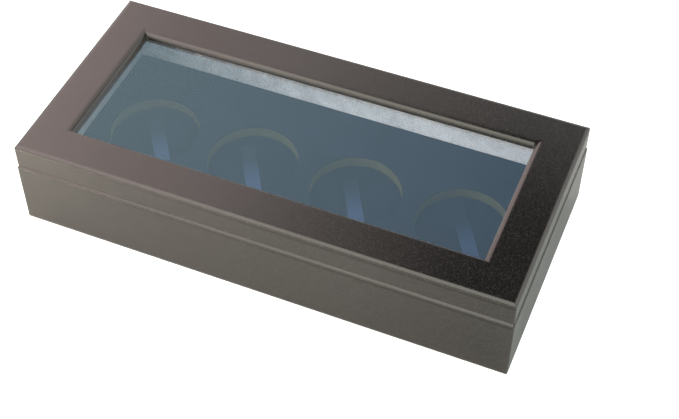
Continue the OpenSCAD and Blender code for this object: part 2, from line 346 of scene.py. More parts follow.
@dataclass(frozen=True)
class Lacquer(Finish):
    """Satin metallic lacquer with fine flake, whose normals lean along the edges of the box, with thin bands of
    painted shade and painted dark reflection there.
    """

    base: Colour = (0.122, 0.115, 0.107)
    flake: Colour = (0.20, 0.186, 0.172)
    cloud: Colour = (0.098, 0.092, 0.086)
    flake_size: float = 0.40 * MM
    flake_tilt: float = 0.03
    flake_glint: Ramp = (0.35, 1.0, 0.0, 0.10)
    flake_rough: Ramp = (0.0, 1.0, 0.19, 0.25)
    matt_flake: Ramp = (0.55, 1.0, 0.0, 1.0)
    matt_glint: float = 0.11
    matt_share: float = 0.15
    clouds: Noise = (22.0, 4.0, 0.55)
    cloud_share: Ramp = (0.3, 0.7, 0.0, 0.25)
    cloud_rough: Ramp = (0.3, 0.7, -0.02, 0.03)
    spray: Noise = (1400.0, 2.0, 0.55)
    spray_depth: float = 0.02 * MM
    # The sloping inner edge of the frame, by height unless it says otherwise
    sight_half: tuple[float, float] = (97.6 * MM, 37.3 * MM)
    stile_from: float = 94.0 * MM
    rail_from: float = 33.6 * MM
    slope_from: float = 42.95 * MM
    slope_lean: Ramp = (44.7 * MM, 46.6 * MM, 0.0, 0.34)
    slope_matt: Ramp = (44.7 * MM, 46.6 * MM, 0.40, 0.0)
    bridge_lean: Ramp = (46.85 * MM, 47.20 * MM, 0.0, 4.0)
    fill_lean: Ramp = (46.60 * MM, 47.63 * MM, 2.05, 0.0)
    # Painted shade: black along the foot of the rails' slope
    painted_foot_shade: Ramp = (43.95 * MM, 45.90 * MM, 0.42, 0.0)
    # The seam and the long front edges, by height unless it says otherwise
    front_to: float = -50.0 * MM
    side_from: float = 113.6 * MM
    seam: float = 35.72 * MM
    # Painted shade: black on the lid's lowest edge at the seam, fading out towards the right
    painted_seam_shade: Ramp = (35.72 * MM, 36.35 * MM, 0.72, 0.0)
    painted_seam_shade_x: Ramp = (-60.0 * MM, 40.0 * MM, 1.0, 0.0)
    # How strongly the painted reflection bands and the lip's lean show along the box, weaker to the left
    weaker_to_left_x: Ramp = (-90.0 * MM, 50.0 * MM, 0.35, 1.0)
    # Painted reflection: dark bands under the lid's top edge and under the seam round, each over three heights
    painted_reflection_bands: tuple[Triple, ...] = ((44.3 * MM, 45.5 * MM, 46.5 * MM), (32.3 * MM, 33.3 * MM, 34.0 * MM))
    painted_reflection_black: float = 0.34
    lip_lean: Ramp = (34.15 * MM, 34.45 * MM, 0.0, 0.20)
    crest_lean: Ramp = (34.8 * MM, 35.6 * MM, 0.0, -0.90)
    side_lean: Ramp = (33.6 * MM, 35.6 * MM, 0.0, -0.92)

    def softened_sight(self, wiring: Wiring, axes: Trio) -> Trio:
        """How the shading normal softens the frame's sloping inner edge, and where painted shade darkens the foot of
        the rails' slope.

        On the left and at the rear the normal bridges the start of the rounding, so the flat top seems to reach
        further in. On the right it fills the rounding to one even lean.

        Args:
            wiring: The material's wiring.
            axes: Object coordinates.

        Returns:
            How far the normal leans upward, the share of matt finish on the stiles' slope, and the share of black
            that paints shade along the foot of the rails' slope.
        """
        x, y, z = axes
        out, deep = wiring.size(x), wiring.size(y)
        within = wiring.product(wiring.below(out, self.sight_half[0]), wiring.below(deep, self.sight_half[1]))
        stile = wiring.above(out, self.stile_from)
        right, left = wiring.above(x, self.stile_from), wiring.below(x, -self.stile_from)
        rear = wiring.above(y, self.rail_from)
        bridged = wiring.product(wiring.maths("MAXIMUM", left, rear), wiring.rest(right))
        lean = wiring.total(
            wiring.ramp(z, self.slope_lean),
            wiring.product(wiring.ramp(z, self.bridge_lean), bridged),
            wiring.product(wiring.ramp(z, self.fill_lean), right),
        )
        on_slope = wiring.product(within, wiring.above(z, self.slope_from))
        matt = wiring.product(wiring.ramp(z, self.slope_matt), on_slope, stile)
        black = wiring.product(wiring.ramp(z, self.painted_foot_shade), on_slope, wiring.rest(stile))
        return wiring.product(lean, within), matt, black

    def edge_lean_and_painted_shade(self, wiring: Wiring, axes: Trio) -> tuple[Socket, Socket]:
        """How the normal leans on the rounds below the seam, and where painted shade and painted dark reflection
        darken the seam and the long edges of the front.

        Args:
            wiring: The material's wiring.
            axes: Object coordinates.

        Returns:
            How far the normal leans upward on the round below the seam, and the share of black: painted shade at the
            seam and painted dark reflection under the edges.
        """
        x, y, z = axes
        out = wiring.size(x)
        front = wiring.product(wiring.below(y, self.front_to), wiring.below(out, self.side_from))
        side = wiring.above(out, self.side_from)
        lid = wiring.above(z, self.seam)
        weaker_to_left = wiring.ramp(x, self.weaker_to_left_x)
        # Painted shade at the seam, then the bands of painted dark reflection under the edges
        black = wiring.product(lid, wiring.ramp(z, self.painted_seam_shade), wiring.ramp(x, self.painted_seam_shade_x))
        for low, middle, high in self.painted_reflection_bands:
            rise = wiring.ramp(z, (low, middle, 0.0, 1.0))
            fall = wiring.ramp(z, (middle, high, self.painted_reflection_black, 0.0))
            black = wiring.total(black, wiring.product(rise, fall, weaker_to_left))
        lip = wiring.product(wiring.ramp(z, self.lip_lean), weaker_to_left)
        in_front = wiring.product(wiring.total(lip, wiring.ramp(z, self.crest_lean)), front)
        lean = wiring.total(in_front, wiring.product(wiring.ramp(z, self.side_lean), side))
        return wiring.product(lean, wiring.rest(lid)), wiring.product(black, front)

    def wire(self, wiring: Wiring) -> None:
        """Flake in the colour and the normal, soft cloudiness, and a slight spray texture.

        Args:
            wiring: The material's wiring.
        """
        where = wiring.place()
        axes = wiring.axes(where)
        flakes = wiring.cells(where, 1 / self.flake_size)
        red, green, blue = wiring.axes(flakes)
        clouds = wiring.noise(where, self.clouds)
        matt = wiring.ramp(blue, self.matt_flake)
        bright = wiring.total(wiring.ramp(red, self.flake_glint), wiring.product(matt, self.matt_glint))
        colour = wiring.blend(bright, self.base, self.flake)
        colour = wiring.blend(wiring.ramp(clouds, self.cloud_share), colour, self.cloud)
        sight_lean, sight_matt, sight_painted_shade = self.softened_sight(wiring, axes)
        edge_lean, edge_painted_shade = self.edge_lean_and_painted_shade(wiring, axes)
        # Painted shade and painted dark reflection: black laid over the colour at the slope's foot, the seam and
        # under the edges
        colour = wiring.blend(wiring.total(sight_painted_shade, edge_painted_shade), colour, BLACK)
        upward = wiring.add("CombineXYZ", {2: wiring.total(sight_lean, edge_lean)}).outputs[0]
        leaned = wiring.add(
            "VectorTransform", {0: upward}, vector_type="VECTOR", convert_from="OBJECT", convert_to="WORLD"
        ).outputs[0]
        tilt = wiring.vector("SUBTRACT", flakes, (0.5, 0.5, 0.5))
        tilt = wiring.vector("MULTIPLY", tilt, (self.flake_tilt,) * 3)
        normal = wiring.add("NewGeometry").outputs["Normal"]
        normal = wiring.vector("ADD", normal, tilt, leaned)
        normal = wiring.bump(wiring.noise(where, self.spray), self.spray_depth, wiring.vector("NORMALIZE", normal))
        rough = wiring.total(wiring.ramp(green, self.flake_rough), wiring.ramp(clouds, self.cloud_rough))
        metal = wiring.maths("SUBTRACT", wiring.rest(wiring.product(matt, self.matt_share)), sight_matt)
        wiring.surface(Base_Color=colour, Metallic=metal, Roughness=rough, Specular_IOR_Level=0.3, Normal=normal)


@dataclass(frozen=True)
class Texture:
    """One texture of a plain finish: its pattern, the share of the second colour it gives, its height and stretch.

    With pores, it has round cells in place of noise, and only the scale of its pattern counts.
    """

    pattern: Noise
    share: Ramp
    depth: float
    stretch: Triple = (1.0, 1.0, 1.0)
    pores: bool = False


@dataclass(frozen=True)
class Grained(Finish):
    """Plain stuff in two colours, such as pile, pressed fibres, wood grain or foam."""

    base: Colour
    second: Colour
    textures: tuple[Texture, ...]
    rough: float
    gloss: float = 0.5
    sheen: float = 0.0
    sheen_rough: float = 0.5
    sheen_tint: Colour = WHITE

    def wire(self, wiring: Wiring) -> None:
        """Each texture in the colour and, one over another, in the height.

        Args:
            wiring: The material's wiring.
        """
        share, normal = 1.0, None
        for texture in self.textures:
            where = wiring.place(texture.stretch)
            if texture.pores:
                height = wiring.cells(where, texture.pattern[0], "Distance")
            else:
                height = wiring.noise(where, texture.pattern)
            share = wiring.product(share, wiring.ramp(height, texture.share))
            normal = wiring.bump(height, texture.depth, normal)
        wiring.surface(
            Base_Color=wiring.blend(share, self.base, self.second), Roughness=self.rough,
            Specular_IOR_Level=self.gloss, Sheen_Weight=self.sheen, Sheen_Roughness=self.sheen_rough,
            Sheen_Tint=self.sheen_tint, Normal=normal,
        )


@dataclass(frozen=True)
class Suede(Finish):
    """Pale blue-grey lining fabric with a grain that glints."""

    base: Colour = (0.90, 0.90, 0.97)
    grain: Colour = (0.27, 0.27, 0.30)
    sheen: Colour = (0.9, 0.95, 1.0)
    # Painted shade and light along the box: darker on the left part, a little less so at its very end, and lighter
    # towards the right end
    painted_shade_and_light_x: tuple[Ramp, ...] = (
        (-0.085, -0.060, -0.20, 0.0), (-0.050, 0.005, 0.37, 0.0), (0.005, 0.090, 0.0, -0.25),
    )
    nap: Noise = (1500.0, 4.0, 0.75)
    nap_share: Ramp = (0.35, 0.7, 0.0, 0.75)
    nap_rough: Ramp = (0.3, 0.7, 0.6, 0.95)
    nap_depth: float = 0.4 * MM
    patches: Noise = (140.0, 3.0, 0.55)
    patch_share: Ramp = (0.3, 0.7, -0.1, 0.2)

    def wire(self, wiring: Wiring) -> None:
        """Mottled short nap, with painted shade and light along the box.

        Args:
            wiring: The material's wiring.
        """
        where = wiring.place()
        along = wiring.axes(where)[0]
        nap, patches = wiring.noise(where, self.nap), wiring.noise(where, self.patches)
        share = wiring.total(
            wiring.ramp(nap, self.nap_share), wiring.ramp(patches, self.patch_share),
            # Painted shade and light along the box
            *(wiring.ramp(along, course) for course in self.painted_shade_and_light_x),
        )
        wiring.surface(
            Base_Color=wiring.blend(share, self.base, self.grain), Roughness=wiring.ramp(nap, self.nap_rough),
            Specular_IOR_Level=0.35, Sheen_Weight=0.25, Sheen_Roughness=0.4, Sheen_Tint=self.sheen,
            Normal=wiring.bump(nap, self.nap_depth),
        )


@dataclass(frozen=True)
class Satin(Finish):
    """Light blue satin ribbon, woven across, with a firmer edge on both sides."""

    base: Colour = (0.032, 0.063, 0.148)
    shade: Colour = (0.019, 0.040, 0.102)
    selvedge: Colour = (0.040, 0.078, 0.165)
    # Painted shade towards the ribbon's free end
    painted_shade_end: Colour = (0.004, 0.009, 0.017)
    sheen: Colour = (0.8, 0.9, 1.0)
    weft: float = 0.9
    weft_share: Ramp = (0.0, 1.0, 0.0, 0.35)
    weft_height: Ramp = (0.0, 1.0, 0.0, 0.4)
    weave_depth: float = 0.05 * MM
    slubs: Noise = (900.0, 2.0, 0.55)
    slub_share: Ramp = (0.3, 0.7, 0.0, 0.3)
    # From the ribbon's middle line, in widths
    selvedge_from: Ramp = (0.40, 0.46, 0.0, 1.0)
    selvedge_share: float = 0.6
    # Painted shade, darkening the ribbon towards its free end; along the ribbon, in millimetres
    painted_shade_share: Ramp = (9.5, 24.0, 0.0, 0.93)

    def wire(self, wiring: Wiring) -> None:
        """Weft ribs along the ribbon's own map, and its two selvedges.

        Args:
            wiring: The material's wiring.
        """
        mapped = wiring.add("UVMap", uv_map="ribbon").outputs[0]
        along, over, _ = wiring.axes(mapped)
        ribs = {"Vector": mapped, "Scale": self.weft, "Distortion": 0.0, "Detail": 1.0}
        weft = wiring.add("TexWave", ribs, bands_direction="X").outputs["Fac"]
        edge = wiring.ramp(wiring.size(wiring.maths("SUBTRACT", over, 0.5)), self.selvedge_from)
        slubs = wiring.ramp(wiring.noise(wiring.place(), self.slubs), self.slub_share)
        colour = wiring.blend(wiring.total(wiring.ramp(weft, self.weft_share), slubs), self.base, self.shade)
        colour = wiring.blend(wiring.product(edge, self.selvedge_share), colour, self.selvedge)
        # Painted shade towards the free end
        colour = wiring.blend(wiring.ramp(along, self.painted_shade_share), colour, self.painted_shade_end)
        height = wiring.total(wiring.ramp(weft, self.weft_height), edge)
        wiring.surface(
            Base_Color=colour, Roughness=0.42, Specular_IOR_Level=0.2, Anisotropic=0.5, Sheen_Weight=0.1,
            Sheen_Roughness=0.3, Sheen_Tint=self.sheen, Normal=wiring.bump(height, self.weave_depth),
        )


@dataclass(frozen=True)
class BrushedMetal(Finish):
    """Drawn or stamped small metalwork."""

    base: Colour = srgb(214, 178, 104)
    dull: Colour = srgb(150, 118, 60)
    rough: float = 0.3
    rough_swing: tuple[float, float] = (-0.06, 0.1)
    mark_stretch: Triple = (300.0, 9000.0, 9000.0)
    marks: Noise = (1.0, 3.0, 0.6)
    mark_span: tuple[float, float] = (0.3, 0.7)
    mark_depth: float = 0.008 * MM
    tarnish: Noise = (700.0, 4.0, 0.65)
    tarnish_share: Ramp = (0.45, 0.75, 0.0, 0.6)

    def wire(self, wiring: Wiring) -> None:
        """Fine brush marks along the box and a little tarnish.

        Args:
            wiring: The material's wiring.
        """
        marks = wiring.noise(wiring.place(self.mark_stretch), self.marks)
        tarnish = wiring.ramp(wiring.noise(wiring.place(), self.tarnish), self.tarnish_share)
        smoother, rougher = (self.rough + swing for swing in self.rough_swing)
        wiring.surface(
            Base_Color=wiring.blend(tarnish, self.base, self.dull), Metallic=1.0,
            Roughness=wiring.ramp(marks, (*self.mark_span, smoother, rougher)),
            Normal=wiring.bump(marks, self.mark_depth),
        )


@dataclass(frozen=True)
class ClearGlass(Finish):
    """A flat clear pane: it mirrors by its angle and lets the rest straight through."""

    tint: Colour = (0.97, 0.985, 0.98)
    index: float = 1.5
    both_faces: float = 1.9

    def wire(self, wiring: Wiring) -> None:
        """A mirror over a clear film, mixed by Fresnel.

        Args:
            wiring: The material's wiring.
        """
        clear = wiring.add("BsdfTransparent", {"Color": self.tint}).outputs[0]
        gloss = wiring.add("BsdfGlossy", {"Roughness": 0.0}).outputs[0]
        fresnel = wiring.add("Fresnel", {"IOR": self.index}).outputs[0]
        first_face = wiring.rest(wiring.add("NewGeometry").outputs["Backfacing"])
        wiring.output(wiring.either(wiring.product(fresnel, self.both_faces, first_face), clear, gloss))


LACQUER = Lacquer("lacquer_taupe")
# Short dark pile, brushed lighter and darker in soft patches
VELVET = Grained(
    "velvet_navy", base=srgb(15, 21, 30), second=srgb(30, 40, 54), rough=1.0, gloss=0.1, sheen=0.35,
    sheen_rough=0.45, sheen_tint=srgb(120, 140, 170), textures=(
        Texture((2600.0, 3.0, 0.6), share=(0.3, 0.75, 0.5, 0.7), depth=0.008 * MM),
        Texture((55.0, 4.0, 0.6), share=(0.35, 0.65, 0.25, 0.9), depth=0.3 * MM),
    ),
)
SUEDE = Suede("suede_lining")
# A darker copy of the lining fabric for the side cards: painted shade
SUEDE_SHADED = Suede("suede_lining_shaded", base=(0.45, 0.45, 0.49), grain=(0.13, 0.13, 0.147), painted_shade_and_light_x=())
# Bare tan board, with loose fibres and the pressed layers of its edge
BOARD = Grained(
    "board_tan", base=srgb(90, 91, 62), second=srgb(66, 60, 38), rough=0.92, gloss=0.2, textures=(
        Texture((2600.0, 4.0, 0.7), share=(0.3, 0.7, 0.4, 1.0), depth=0.15 * MM),
        Texture((1.0, 3.0, 0.6), share=(0.35, 0.65, 0.0, 1.0), depth=0.2 * MM, stretch=(60.0, 60.0, 1900.0)),
    ),
)
RIBBON = Satin("satin_blue")
BRASS = BrushedMetal("brass_hinge")
STEEL = BrushedMetal("steel_pin", base=srgb(188, 188, 186), dull=srgb(140, 140, 140), rough=0.25)
GLASS = ClearGlass("glass_clear")
# Pressed felt of tangled fibres
FELT = Grained(
    "felt_black", base=srgb(24, 24, 26), second=srgb(52, 52, 56), rough=1.0, gloss=0.1, sheen=0.3,
    textures=(Texture((2200.0, 5.0, 0.75), share=(0.35, 0.7, 0.0, 1.0), depth=0.3 * MM),),
)
# Thin dark-stained board, with straight grain along the box
PANEL = Grained(
    "panel_stained", base=srgb(74, 66, 60), second=srgb(48, 42, 38), rough=0.6, textures=(
        Texture((1.0, 5.0, 0.65), share=(0.3, 0.7, 0.0, 1.0), depth=0.08 * MM, stretch=(12.0, 420.0, 420.0)),
    ),
)
# Grey foam with pores of about a millimetre in a slightly rough skin
FOAM = Grained(
    "foam_grey", base=srgb(60, 62, 66), second=srgb(112, 114, 118), rough=0.95, gloss=0.2, textures=(
        Texture((3000.0, 3.0, 0.55), share=(0.0, 1.0, 1.0, 1.0), depth=0.1 * MM),
        Texture((1100.0, 0.0, 0.0), share=(0.1, 0.5, 0.0, 1.0), depth=0.6 * MM, pores=True),
    ),
)


def put_on(finish: Finish, thing: Thing) -> None:
    """Gives a whole object one finish.

    Args:
        finish: The finish.
        thing: The object.
    """
    thing.data.materials.clear()
    thing.data.materials.append(finish.material())


def stand_in(piece: Thing, finish: Finish, node: str) -> None:
    """Finishes a soft piece, puts it on the base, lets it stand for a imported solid, and reports it.

    Args:
        piece: The piece.
        finish: Its finish.
        node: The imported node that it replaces.
    """
    put_on(finish, piece)
    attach(piece, BASE)
    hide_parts(node)
    log.info("built %s", piece.name)


def nothing_selected() -> None:
    """Leaves edit mode and clears the selection."""
    if bpy.context.object is not None and bpy.context.object.mode != "OBJECT":
        bpy.ops.object.mode_set(mode="OBJECT")
    bpy.ops.object.select_all(action="DESELECT")


def only(thing: Thing) -> None:
    """Makes one object the only one selected and active.

    Args:
        thing: The object.
    """
    nothing_selected()
    thing.select_set(True)
    bpy.context.view_layer.objects.active = thing


def settle(thing: Thing) -> None:
    """Puts an object's place, turn and size into its mesh.

    Args:
        thing: The object.
    """
    only(thing)
    bpy.ops.object.transform_apply(location=True, rotation=True, scale=True)


def plain_mesh(shape: str, name: str, **measures: object) -> Thing:
    """Adds one of Blender's plain meshes.

    Args:
        shape: What Blender calls it, such as cube.
        name: The new object's name.
        **measures: Its sizes and its place.

    Returns:
        The object.
    """
    nothing_selected()
    getattr(bpy.ops.mesh, f"primitive_{shape}_add")(**measures)
    thing = bpy.context.object
    thing.name = thing.data.name = name
    return thing


def block(name: str, low: Vector, high: Vector) -> Thing:
    """Adds a block between two corners.

    Args:
        name: The new piece's name.
        low: Its lowest corner, in metres.
        high: Its highest corner.

    Returns:
        The block, with its place in its mesh.
    """
    thing = plain_mesh("cube", name, size=1.0, location=(low + high) / 2)
    thing.scale = high - low
    settle(thing)
    return thing


def both_at(ends: tuple[Vector, Vector], axis: int, value: float) -> bool:
    """Tests whether an edge lies on a plane.

    Args:
        ends: The edge's two ends.
        axis: The plane's axis, by number.
        value: Where the plane cuts that axis.

    Returns:
        True when both ends lie there.
    """
    return all(abs(end[axis] - value) < LEVEL for end in ends)


def round_edges(thing: Thing, radius: float, steps: int, wanted: Optional[EdgeTest] = None) -> None:
    """Rounds the edges of a piece.

    Args:
        thing: The piece.
        radius: Width of the rounding, in metres.
        steps: Its segments.
        wanted: Takes an edge's two ends and says whether it is rounded. None rounds all.
    """
    only(thing)
    bpy.ops.object.mode_set(mode="EDIT")
    bpy.ops.mesh.select_mode(type="EDGE")
    bpy.ops.mesh.select_all(action="DESELECT")
    bpy.ops.object.mode_set(mode="OBJECT")
    for edge in thing.data.edges:
        ends = (thing.data.vertices[i].co for i in edge.vertices)
        edge.select = wanted is None or wanted(*ends)
    bpy.ops.object.mode_set(mode="EDIT")
    bpy.ops.mesh.bevel(offset=radius, offset_type="OFFSET", segments=steps, profile=0.5, clamp_overlap=True)
    bpy.ops.object.mode_set(mode="OBJECT")


def cut(thing: Thing, tool: Thing) -> None:
    """Takes one object out of another and removes the tool.

    Args:
        thing: What is cut.
        tool: What cuts it.
    """
    only(thing)
    modifier = thing.modifiers.new("cut", "BOOLEAN")
    modifier.operation = "DIFFERENCE"
    modifier.solver = "EXACT"
    modifier.object = tool
    bpy.ops.object.modifier_apply(modifier=modifier.name)
    bpy.data.objects.remove(tool)


def smooth(thing: Thing, angle: float = 35.0) -> None:
    """Shades a piece smooth but for its sharper edges.

    Args:
        thing: The piece.
        angle: Edges that turn more than this stay sharp, in degrees.
    """
    only(thing)
    bpy.ops.object.shade_smooth_by_angle(angle=math.radians(angle))
    nothing_selected()


# Finishes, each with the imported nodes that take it
Dressing = tuple[tuple[Finish, tuple[str, ...]], ...]


@dataclass
class Dressed:
    """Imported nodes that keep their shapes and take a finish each."""

    finishes: Dressing

    def dress(self) -> None:
        """Puts the finishes on the nodes."""
        for finish, names in self.finishes:
            for name in names:
                put_on(finish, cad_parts[name])


@dataclass
class Casework(Dressed):
    """The wooden base, the lid frame with its pane, the tray's boards, and the felt under the box."""

    finishes: Dressing = (
        (LACQUER, (
            *(f"base_{side}_wall" for side in SIDES), *(f"glass_retainer_{side}" for side in SIDES),
            "lid_front_rail", "lid_rear_rail", "lid_left_stile", "lid_right_stile",
        )),
        (PANEL, ("base_bottom_panel",)),
        (GLASS, ("glass_pane",)),
        (BOARD, ("floor_board", "tray_board")),
    )
    felt_round: float = 0.35 * MM
    felt_steps: int = 2

    def build_felt(self) -> None:
        """The felt under the box, with soft edges."""
        low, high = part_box("bottom_felt")
        felt = block("felt_underside", low, high)
        round_edges(felt, self.felt_round, self.felt_steps)
        smooth(felt)
        stand_in(felt, FELT, "bottom_felt")


@dataclass
class Lining:
    """Fabric-covered card on the inside of the walls."""

    # The side cards that take the darker copy of the fabric, as painted shade
    painted_shade_sides: tuple[str, ...] = ("left", "right")
    top_round: float = 0.42 * MM
    top_steps: int = 4
    thickest: float = 2 * MM

    def build(self) -> None:
        """One card for each wall, rolled over at the top."""
        for side in SIDES:
            low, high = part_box(f"lining_{side}")
            card = block(f"lining_card_{side}", low, high)

            def along_top(*ends: Vector, top: float = high.z) -> bool:
                """Finds the long edges at the top.

                Args:
                    *ends: An edge's two ends.
                    top: Height of the top.

                Returns:
                    True for those edges.
                """
                return both_at(ends, 2, top) and (ends[0] - ends[1]).length > self.thickest

            round_edges(card, self.top_round, self.top_steps, along_top)
            smooth(card)
            # Side cards take the darker copy, as painted shade
            stand_in(card, SUEDE_SHADED if side in self.painted_shade_sides else SUEDE, f"lining_{side}")


@dataclass
class CoinTray:
    """Velvet on the tray and under the wells, and the foam below."""

    wells: int = 4
    well_radius: float = 20.75 * MM
    pitch: float = 50.0 * MM
    lip_round: float = 0.38 * MM
    lip_steps: int = 4
    facets: int = 128
    facet_slack: float = 0.05 * MM
    well_cut: float = 6.0 * MM
    foam_round: float = 0.8 * MM
    foam_steps: int = 3
    slot_cut: Triple = (0.8 * MM, 7.0 * MM, 6.0 * MM)

    def centres(self) -> list[float]:
        """Where the wells lie along the box.

        Returns:
            The middle of each well, left to right.
        """
        return [(i - (self.wells - 1) / 2) * self.pitch for i in range(self.wells)]

    def build_top(self) -> None:
        """The velvet round the wells, rolled over at their rims."""
        low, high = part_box("tray_velvet")
        skin = block("velvet_tray", low, high)
        for x in self.centres():
            cut(skin, plain_mesh(
                "cylinder", "cutter", vertices=self.facets, radius=self.well_radius, depth=self.well_cut,
                location=(x, 0, (low.z + high.z) / 2),
            ))

        def on_top(*ends: Vector) -> bool:
            """Finds the rims and the outline of the upper face.

            Args:
                *ends: An edge's two ends.

            Returns:
                True for those edges.
            """
            outline = any(both_at(ends, axis, corner[axis]) for axis in (0, 1) for corner in (low, high))
            rim = all(
                any(abs(math.hypot(p.x - x, p.y) - self.well_radius) < self.facet_slack for x in self.centres())
                for p in (ends[0], (ends[0] + ends[1]) / 2)
            )
            return both_at(ends, 2, high.z) and (outline or rim)

        round_edges(skin, self.lip_round, self.lip_steps, on_top)
        smooth(skin)
        stand_in(skin, VELVET, "tray_velvet")

    def build_floor(self, ribbons: "LiftRibbons") -> None:
        """The velvet under the wells, with a slot for each ribbon.

        Args:
            ribbons: Says where the slots are.
        """
        low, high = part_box("floor_velvet")
        skin = block("velvet_floor", low, high)
        for i, x in enumerate(self.centres()):
            tool = plain_mesh("cube", "cutter", size=1.0)
            slot = Matrix.Translation((-ribbons.slot_reach + ribbons.thick / 2, 0, low.z))
            tool.matrix_world = ribbons.seat(i, x) @ slot @ Matrix.Diagonal((*self.slot_cut, 1.0))
            settle(tool)
            cut(skin, tool)
        smooth(skin)
        stand_in(skin, VELVET, "floor_velvet")

    def build_foam(self) -> None:
        """The foam block that lifts the tray."""
        foam = block("foam_block", *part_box("foam_filler"))
        round_edges(foam, self.foam_round, self.foam_steps)
        smooth(foam)
        stand_in(foam, FOAM, "foam_filler")


@dataclass
class LiftRibbons:
    """Satin ribbons that come up through a slot and lie across the wells."""

    width: float = 6.6 * MM
    thick: float = 0.4 * MM
    slot_reach: float = 15.5 * MM
    tail: float = 2.5 * MM
    lean_deg: tuple[float, ...] = (35.0, 31.0, 29.0, 31.0)
    side: tuple[float, ...] = (1.3 * MM, -1.1 * MM, -0.9 * MM, 1.4 * MM)
    reach: tuple[float, ...] = (11.0 * MM, 14.0 * MM, 11.0 * MM, 18.8 * MM)
    rise: tuple[float, ...] = (0.9 * MM, 0.6 * MM, 0.8 * MM, 1.1 * MM)
    rise_from: float = 0.7
    across: int = 8
    stations: int = 60
    bend_steps: int = 6
    bend_share: float = 0.75
    bend_gap: float = 0.05 * MM
    floor_gap: float = 0.03 * MM
    wave: float = 0.16 * MM
    wave_run: float = 7.5
    wave_shift: float = 1.7
    cup: float = 0.10 * MM
    cloth_share: float = 0.7
    smooth_deg: float = 50.0

    def seat(self, index: int, well_x: float) -> Matrix:
        """From a ribbon's own frame to the box: X to the free end, Y across.

        Args:
            index: Which ribbon.
            well_x: Where its well lies.

        Returns:
            The matrix.
        """
        turn = Matrix.Rotation(math.radians(90 + self.lean_deg[index]), 4, "Z")
        return Matrix.Translation((well_x, 0, 0)) @ turn @ Matrix.Translation((0, -self.side[index], 0))

    def path(self, index: int, floor: float) -> list[tuple[float, float]]:
        """The ribbon's middle line, from under the slot to the free end.

        Args:
            index: Which ribbon.
            floor: Height of the velvet that it lies on.

        Returns:
            Distances from the well's middle, and heights.
        """
        half = self.thick / 2
        start = -self.slot_reach + half
        bend = self.thick * self.bend_share
        steps = self.bend_steps
        points = [(start, floor - self.tail + self.tail * k / steps) for k in range(steps + 1)]
        for k in range(1, steps + 1):
            angle = math.pi / 2 * k / steps
            points.append((start + bend * (1 - math.cos(angle)), floor + (half + self.bend_gap) * math.sin(angle)))
        first = points[-1][0]
        length = self.reach[index] - first
        for k in range(1, self.stations + 1):
            share = k / self.stations
            wave = self.wave * math.sin(share * self.wave_run + index * self.wave_shift) * math.sin(math.pi * share)
            lift = self.rise[index] * max(0.0, (share - self.rise_from) / (1 - self.rise_from)) ** 2
            points.append((first + length * share, floor + half + self.floor_gap + abs(wave) + lift))
        return points

    def build_one(self, index: int, well_x: float, floor: float) -> None:
        """One ribbon.

        Args:
            index: Which ribbon.
            well_x: Where its well lies along the box.
            floor: Height of the velvet.
        """
        points = self.path(index, floor)
        last = len(points) - 1
        ribbon = plain_mesh(
            "grid", f"ribbon_{index + 1}", x_subdivisions=last, y_subdivisions=self.across, size=1.0,
            location=(0, 0, 0),
        )
        mesh = ribbon.data
        seat = self.seat(index, well_x)
        run = [0.0]
        for (x0, z0), (x1, z1) in zip(points, points[1:]):
            run.append(run[-1] + math.hypot(x1 - x0, z1 - z0))
        place = {v.index: (round((v.co.x + 0.5) * last), v.co.y + 0.5) for v in mesh.vertices}
        layer = mesh.uv_layers.new(name="ribbon")
        for loop in mesh.loops:
            station, over = place[loop.vertex_index]
            layer.data[loop.index].uv = (run[station] / MM, over)
        for vertex in mesh.vertices:
            station, over = place[vertex.index]
            along, height = points[station]
            cup = self.cup * (1 - (2 * over - 1) ** 2) if station > 2 * self.bend_steps else 0.0
            vertex.co = seat @ Vector((along, (over - 0.5) * self.width, height + cup))
        only(ribbon)
        bpy.ops.object.mode_set(mode="EDIT")
        bpy.ops.mesh.select_all(action="SELECT")
        bpy.ops.mesh.normals_make_consistent(inside=False)
        bpy.ops.object.mode_set(mode="OBJECT")
        shell = ribbon.modifiers.new("cloth", "SOLIDIFY")
        shell.thickness = self.thick * self.cloth_share
        shell.offset = 0.0
        bpy.ops.object.modifier_apply(modifier=shell.name)
        smooth(ribbon, self.smooth_deg)
        stand_in(ribbon, RIBBON, f"lift_ribbon_{index + 1}")

    def build(self, centres: Iterable[float]) -> None:
        """All ribbons, one in each well.

        Args:
            centres: Where the wells lie along the box.
        """
        for index, well_x in enumerate(centres):
            self.build_one(index, well_x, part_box("floor_velvet")[1].z)


@dataclass
class Hinges(Dressed):
    """The two butt hinges, their pins and their screws."""

    finishes: Dressing = (
        (BRASS, (
            "hinge_left_base_leaf", "hinge_right_base_leaf", "hinge_left_lid_leaf", "hinge_right_lid_leaf",
            "hinge_screws_base", "hinge_screws_lid",
        )),
        (STEEL, ("hinge_left_pin", "hinge_right_pin")),
    )


@dataclass(frozen=True)
class FloorPaint(Finish):
    """Matt white that keeps the box's shadow, with a patch of painted shade in front of the right end."""

    paint: Colour = (0.50, 0.505, 0.495)
    # Painted shade on the floor in front of the box's right end
    painted_shade: Colour = (0.38, 0.395, 0.39)
    painted_shade_x: Ramp = (0.04, 0.105, 0.0, 1.0)
    painted_shade_y: Ramp = (-0.050, -0.064, 0.0, 1.0)
    glow: float = 0.89

    def wire(self, wiring: Wiring) -> None:
        """Matt paint, with a glow that only the eye meets.

        Args:
            wiring: The material's wiring.
        """
        x, y, _ = wiring.axes(wiring.place())
        # Share of the painted shade patch
        depth = wiring.product(wiring.ramp(x, self.painted_shade_x), wiring.ramp(y, self.painted_shade_y))
        matt = wiring.add("BsdfDiffuse", {"Color": wiring.blend(depth, self.paint, self.painted_shade)})
        glow = wiring.add("Emission", {"Strength": wiring.product(wiring.seen(), self.glow)})
        wiring.output(wiring.add("AddShader", {0: matt.outputs[0], 1: glow.outputs[0]}).outputs[0])


